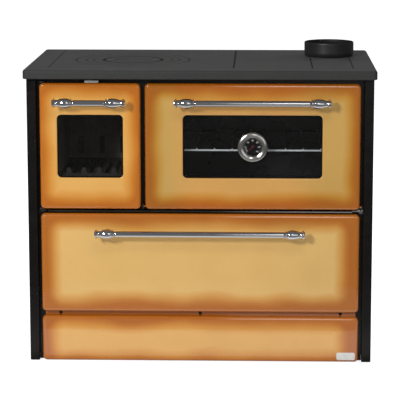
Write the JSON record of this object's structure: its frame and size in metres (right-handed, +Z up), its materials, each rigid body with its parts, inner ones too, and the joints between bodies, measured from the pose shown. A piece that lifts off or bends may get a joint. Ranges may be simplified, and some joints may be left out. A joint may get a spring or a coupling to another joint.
{
  "type": "wood cookstove",
  "caption": "Freestanding wood cookstove with a glazed fire door, a glazed drop-down oven door with a thermometer, a wood drawer, a cast hob with lift-out rings and a round flue collar.",
  "frame": {"origin": "centre of the footprint, handles included, at floor level", "axes": "+X to the right seen from the front, +Y to the back, +Z up"},
  "size_m": [0.996, 0.587, 0.8933],
  "materials": {
    "enamel": "glossy amber enamel, darker towards the edges",
    "black_enamel": "semi-gloss black",
    "cast_iron": "matt dark grey casting",
    "chrome": "polished",
    "steel": "plain sheet and bar steel",
    "dark_steel": "heat-proof dark grey",
    "glass": "clear ceramic glass",
    "firebrick": "dry refractory",
    "rope": "woven heat-proof rope",
    "dial": "black dial",
    "needle": "red pointer"
  },
  "bodies": {
    "cabinet": {"hob_frame": "cast_iron", "flue_collar": "cast_iron", "side_panel_left": "black_enamel", "side_panel_right": "black_enamel", "back_panel": "dark_steel", "base_tray": "dark_steel", "foot_front_left": "dark_steel", "foot_front_right": "dark_steel", "foot_rear_left": "dark_steel", "foot_rear_right": "dark_steel", "plinth_panel": "enamel", "front_frame": "black_enamel", "fire_bracket_top": "dark_steel", "fire_bracket_bottom": "dark_steel", "oven_bracket_left": "dark_steel", "oven_bracket_right": "dark_steel", "fire_door_catch": "steel", "firebox_shell": "dark_steel", "firebrick_left": "firebrick", "firebrick_right": "firebrick", "firebrick_back": "firebrick", "fire_grate": "cast_iron", "log_guard": "cast_iron", "ash_pan": "dark_steel", "oven_box": "dark_steel", "oven_rack": "steel", "smoke_casing": "dark_steel", "smoke_baffle": "dark_steel", "drawer_runner_left": "steel", "drawer_runner_right": "steel"},
    "flue_cover": {"flue_cover_plate": "cast_iron"},
    "cooking_plate": {"cooking_plate": "cast_iron"},
    "ring_outer": {"ring_outer": "cast_iron"},
    "ring_middle": {"ring_middle": "cast_iron"},
    "ring_inner": {"ring_inner": "cast_iron"},
    "centre_disc": {"centre_disc": "cast_iron"},
    "fire_door": {"fire_door_panel": "enamel", "fire_door_frame": "dark_steel", "fire_door_glass": "glass", "fire_door_seal": "rope", "fire_handle_rod": "chrome", "fire_handle_end_left": "chrome", "fire_handle_end_right": "chrome"},
    "oven_door": {"oven_door_panel": "enamel", "oven_door_frame": "dark_steel", "oven_door_glass": "glass", "oven_door_seal": "rope", "oven_handle_rod": "chrome", "oven_handle_end_left": "chrome", "oven_handle_end_right": "chrome", "thermometer_case": "chrome", "thermometer_dial": "dial", "thermometer_lens": "glass"},
    "needle": {"thermometer_needle": "needle"},
    "drawer": {"drawer_panel": "enamel", "drawer_box": "steel", "drawer_handle_rod": "chrome", "drawer_handle_end_left": "chrome", "drawer_handle_end_right": "chrome"},
    "air_slider": {"air_slider": "steel"}
  },
  "joints": [
    {"name": "fire_door_hinge", "type": "hinge", "parent": "cabinet", "child": "fire_door", "pos_m": [-0.4465, -0.23335, 0.6275], "axis": [0, 0, -1], "range_deg": [0, 110]},
    {"name": "oven_door_hinge", "type": "hinge", "parent": "cabinet", "child": "oven_door", "pos_m": [0.14925, -0.23335, 0.455], "axis": [1, 0, 0], "range_deg": [0, 90]},
    {"name": "drawer_slide", "type": "slide", "parent": "cabinet", "child": "drawer", "axis": [0, -1, 0], "range_m": [0, 0.4]},
    {"name": "air_slide", "type": "slide", "parent": "cabinet", "child": "air_slider", "axis": [1, 0, 0], "range_m": [-0.018, 0.018]},
    {"name": "cooking_plate_lift", "type": "slide", "parent": "cabinet", "child": "cooking_plate", "axis": [0, 0, 1], "range_m": [0, 0.08]},
    {"name": "ring_outer_lift", "type": "slide", "parent": "cooking_plate", "child": "ring_outer", "axis": [0, 0, 1], "range_m": [0, 0.06]},
    {"name": "ring_middle_lift", "type": "slide", "parent": "ring_outer", "child": "ring_middle", "axis": [0, 0, 1], "range_m": [0, 0.06]},
    {"name": "ring_inner_lift", "type": "slide", "parent": "ring_middle", "child": "ring_inner", "axis": [0, 0, 1], "range_m": [0, 0.06]},
    {"name": "centre_disc_lift", "type": "slide", "parent": "ring_inner", "child": "centre_disc", "axis": [0, 0, 1], "range_m": [0, 0.06]},
    {"name": "flue_cover_lift", "type": "slide", "parent": "cabinet", "child": "flue_cover", "axis": [0, 0, 1], "range_m": [0, 0.06]},
    {"name": "needle_turn", "type": "hinge", "parent": "oven_door", "child": "needle", "pos_m": [0.14925, -0.2359, 0.628], "axis": [0, 1, 0], "range_deg": [0, 270]}
  ]
}
